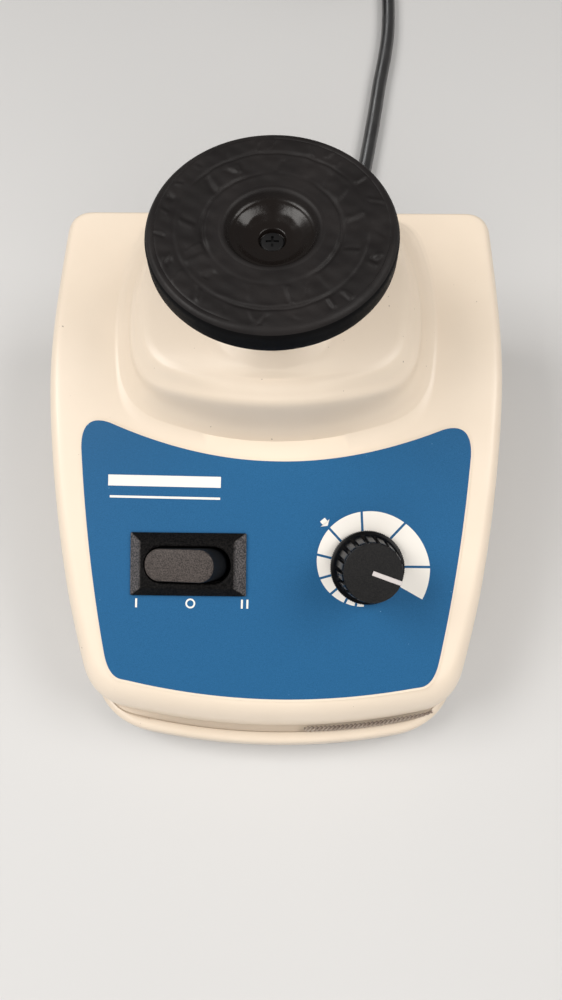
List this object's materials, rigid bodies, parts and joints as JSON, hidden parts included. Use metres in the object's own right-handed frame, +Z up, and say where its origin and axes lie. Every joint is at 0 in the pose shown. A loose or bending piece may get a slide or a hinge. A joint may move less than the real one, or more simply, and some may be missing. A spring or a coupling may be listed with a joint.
{
  "type": "vortex mixer",
  "caption": "Benchtop laboratory vortex mixer: sloped cream housing with blue control panel, rocker switch and speed knob, orbiting round rubber head with a tube cup, mains cord.",
  "frame": {"origin": "on the bench, under the middle of the body's footprint, cord left out", "axes": "+Z up, the control panel and front face -Y, +X to the operator's right"},
  "size_m": [0.1712, 0.6255, 0.15],
  "materials": {
    "cream_plastic": "satin moulded",
    "cream_casting": "satin paint",
    "blue_overlay": "fine textured",
    "black_plastic": "textured",
    "dark_grey_plastic": "sparked texture",
    "black_rubber": "matte",
    "cord_sheath": "satin",
    "white_ink": "matte",
    "grey_gasket": "matte",
    "laminated_iron": "laminated",
    "steel": "bright",
    "aluminium": "satin",
    "copper_winding": "enamelled wire",
    "brass": "bright",
    "circuit_board": "solder mask",
    "capacitor_case": "moulded"
  },
  "bodies": {
    "housing": {"upper_housing": "cream_plastic", "base_pan": "cream_casting", "seam_gasket": "grey_gasket", "rubber_foot_1": "black_rubber", "rubber_foot_2": "black_rubber", "rubber_foot_3": "black_rubber", "rubber_foot_4": "black_rubber", "base_screw_1": "steel", "base_screw_2": "steel", "base_screw_3": "steel", "base_screw_4": "steel", "panel_overlay": "blue_overlay", "switch_bezel": "black_plastic", "switch_body": "black_plastic", "pot_body": "steel", "pot_bushing": "brass", "pot_nut": "steel", "circuit_board": "circuit_board", "triac_heatsink": "aluminium", "suppression_capacitor": "capacitor_case", "touch_switch_body": "black_plastic", "guide_post_1": "steel", "guide_post_2": "steel", "guide_post_3": "steel", "touch_spring_1": "steel", "touch_spring_2": "steel", "touch_spring_3": "steel", "neck_seal": "black_rubber", "strain_relief": "cord_sheath", "power_cord": "cord_sheath", "cord_coil": "cord_sheath", "cord_tail": "cord_sheath", "plug_body": "cord_sheath", "plug_prongs": "brass"},
    "carriage": {"motor_plate": "steel", "stator_core": "laminated_iron", "field_coil": "copper_winding", "motor_bracket_top": "aluminium", "motor_bracket_bottom": "aluminium", "bearing_top": "brass", "bearing_bottom": "brass", "motor_bolt_1": "steel", "motor_bolt_2": "steel"},
    "rotor": {"motor_shaft": "steel", "rotor_core": "laminated_iron", "cooling_fan": "black_plastic", "eccentric_hub": "steel", "hub_set_screw": "steel", "counterweight": "steel"},
    "head": {"head_bearing": "steel", "head_carrier": "aluminium", "head_platform": "aluminium", "rubber_head": "black_rubber", "head_screw": "steel"},
    "knob": {"pot_shaft": "steel", "knob_body": "black_plastic", "knob_cap": "black_plastic", "knob_pointer": "white_ink"},
    "rocker": {"rocker": "dark_grey_plastic"},
    "plunger": {"touch_switch_plunger": "dark_grey_plastic"}
  },
  "joints": [
    {"name": "touch_press", "type": "slide", "parent": "housing", "child": "carriage", "axis": [0, 0, 1], "range_m": [-0.002, 0], "stiffness_N_per_m": 5000, "springref_m": 0.006, "deforming": ["touch_spring_1", "touch_spring_2", "touch_spring_3"]},
    {"name": "motor_spin", "type": "hinge", "parent": "carriage", "child": "rotor", "pos_m": [0, 0.034, 0.054], "axis": [0, 0, 1], "continuous": true},
    {"name": "head_orbit", "type": "hinge", "parent": "rotor", "child": "head", "pos_m": [0, 0.0355, 0.107], "axis": [0, 0, 1], "continuous": true},
    {"name": "speed_knob", "type": "hinge", "parent": "housing", "child": "knob", "pos_m": [0.0341, -0.04464, 0.06893], "axis": [0, -0.3843, 0.9232], "range_deg": [-10.6, 291.4]},
    {"name": "power_rocker", "type": "hinge", "parent": "housing", "child": "rocker", "pos_m": [-0.0309, -0.03946, 0.05701], "axis": [0, 0.9232, 0.3843], "range_deg": [0, 26]},
    {"name": "plunger_slide", "type": "slide", "parent": "housing", "child": "plunger", "axis": [0, 0, 1], "range_m": [-0.002, 0]}
  ],
  "couplings": [
    {"joint": "head_orbit", "follows": "motor_spin", "ratio": -1},
    {"joint": "plunger_slide", "follows": "touch_press", "ratio": 1}
  ]
}
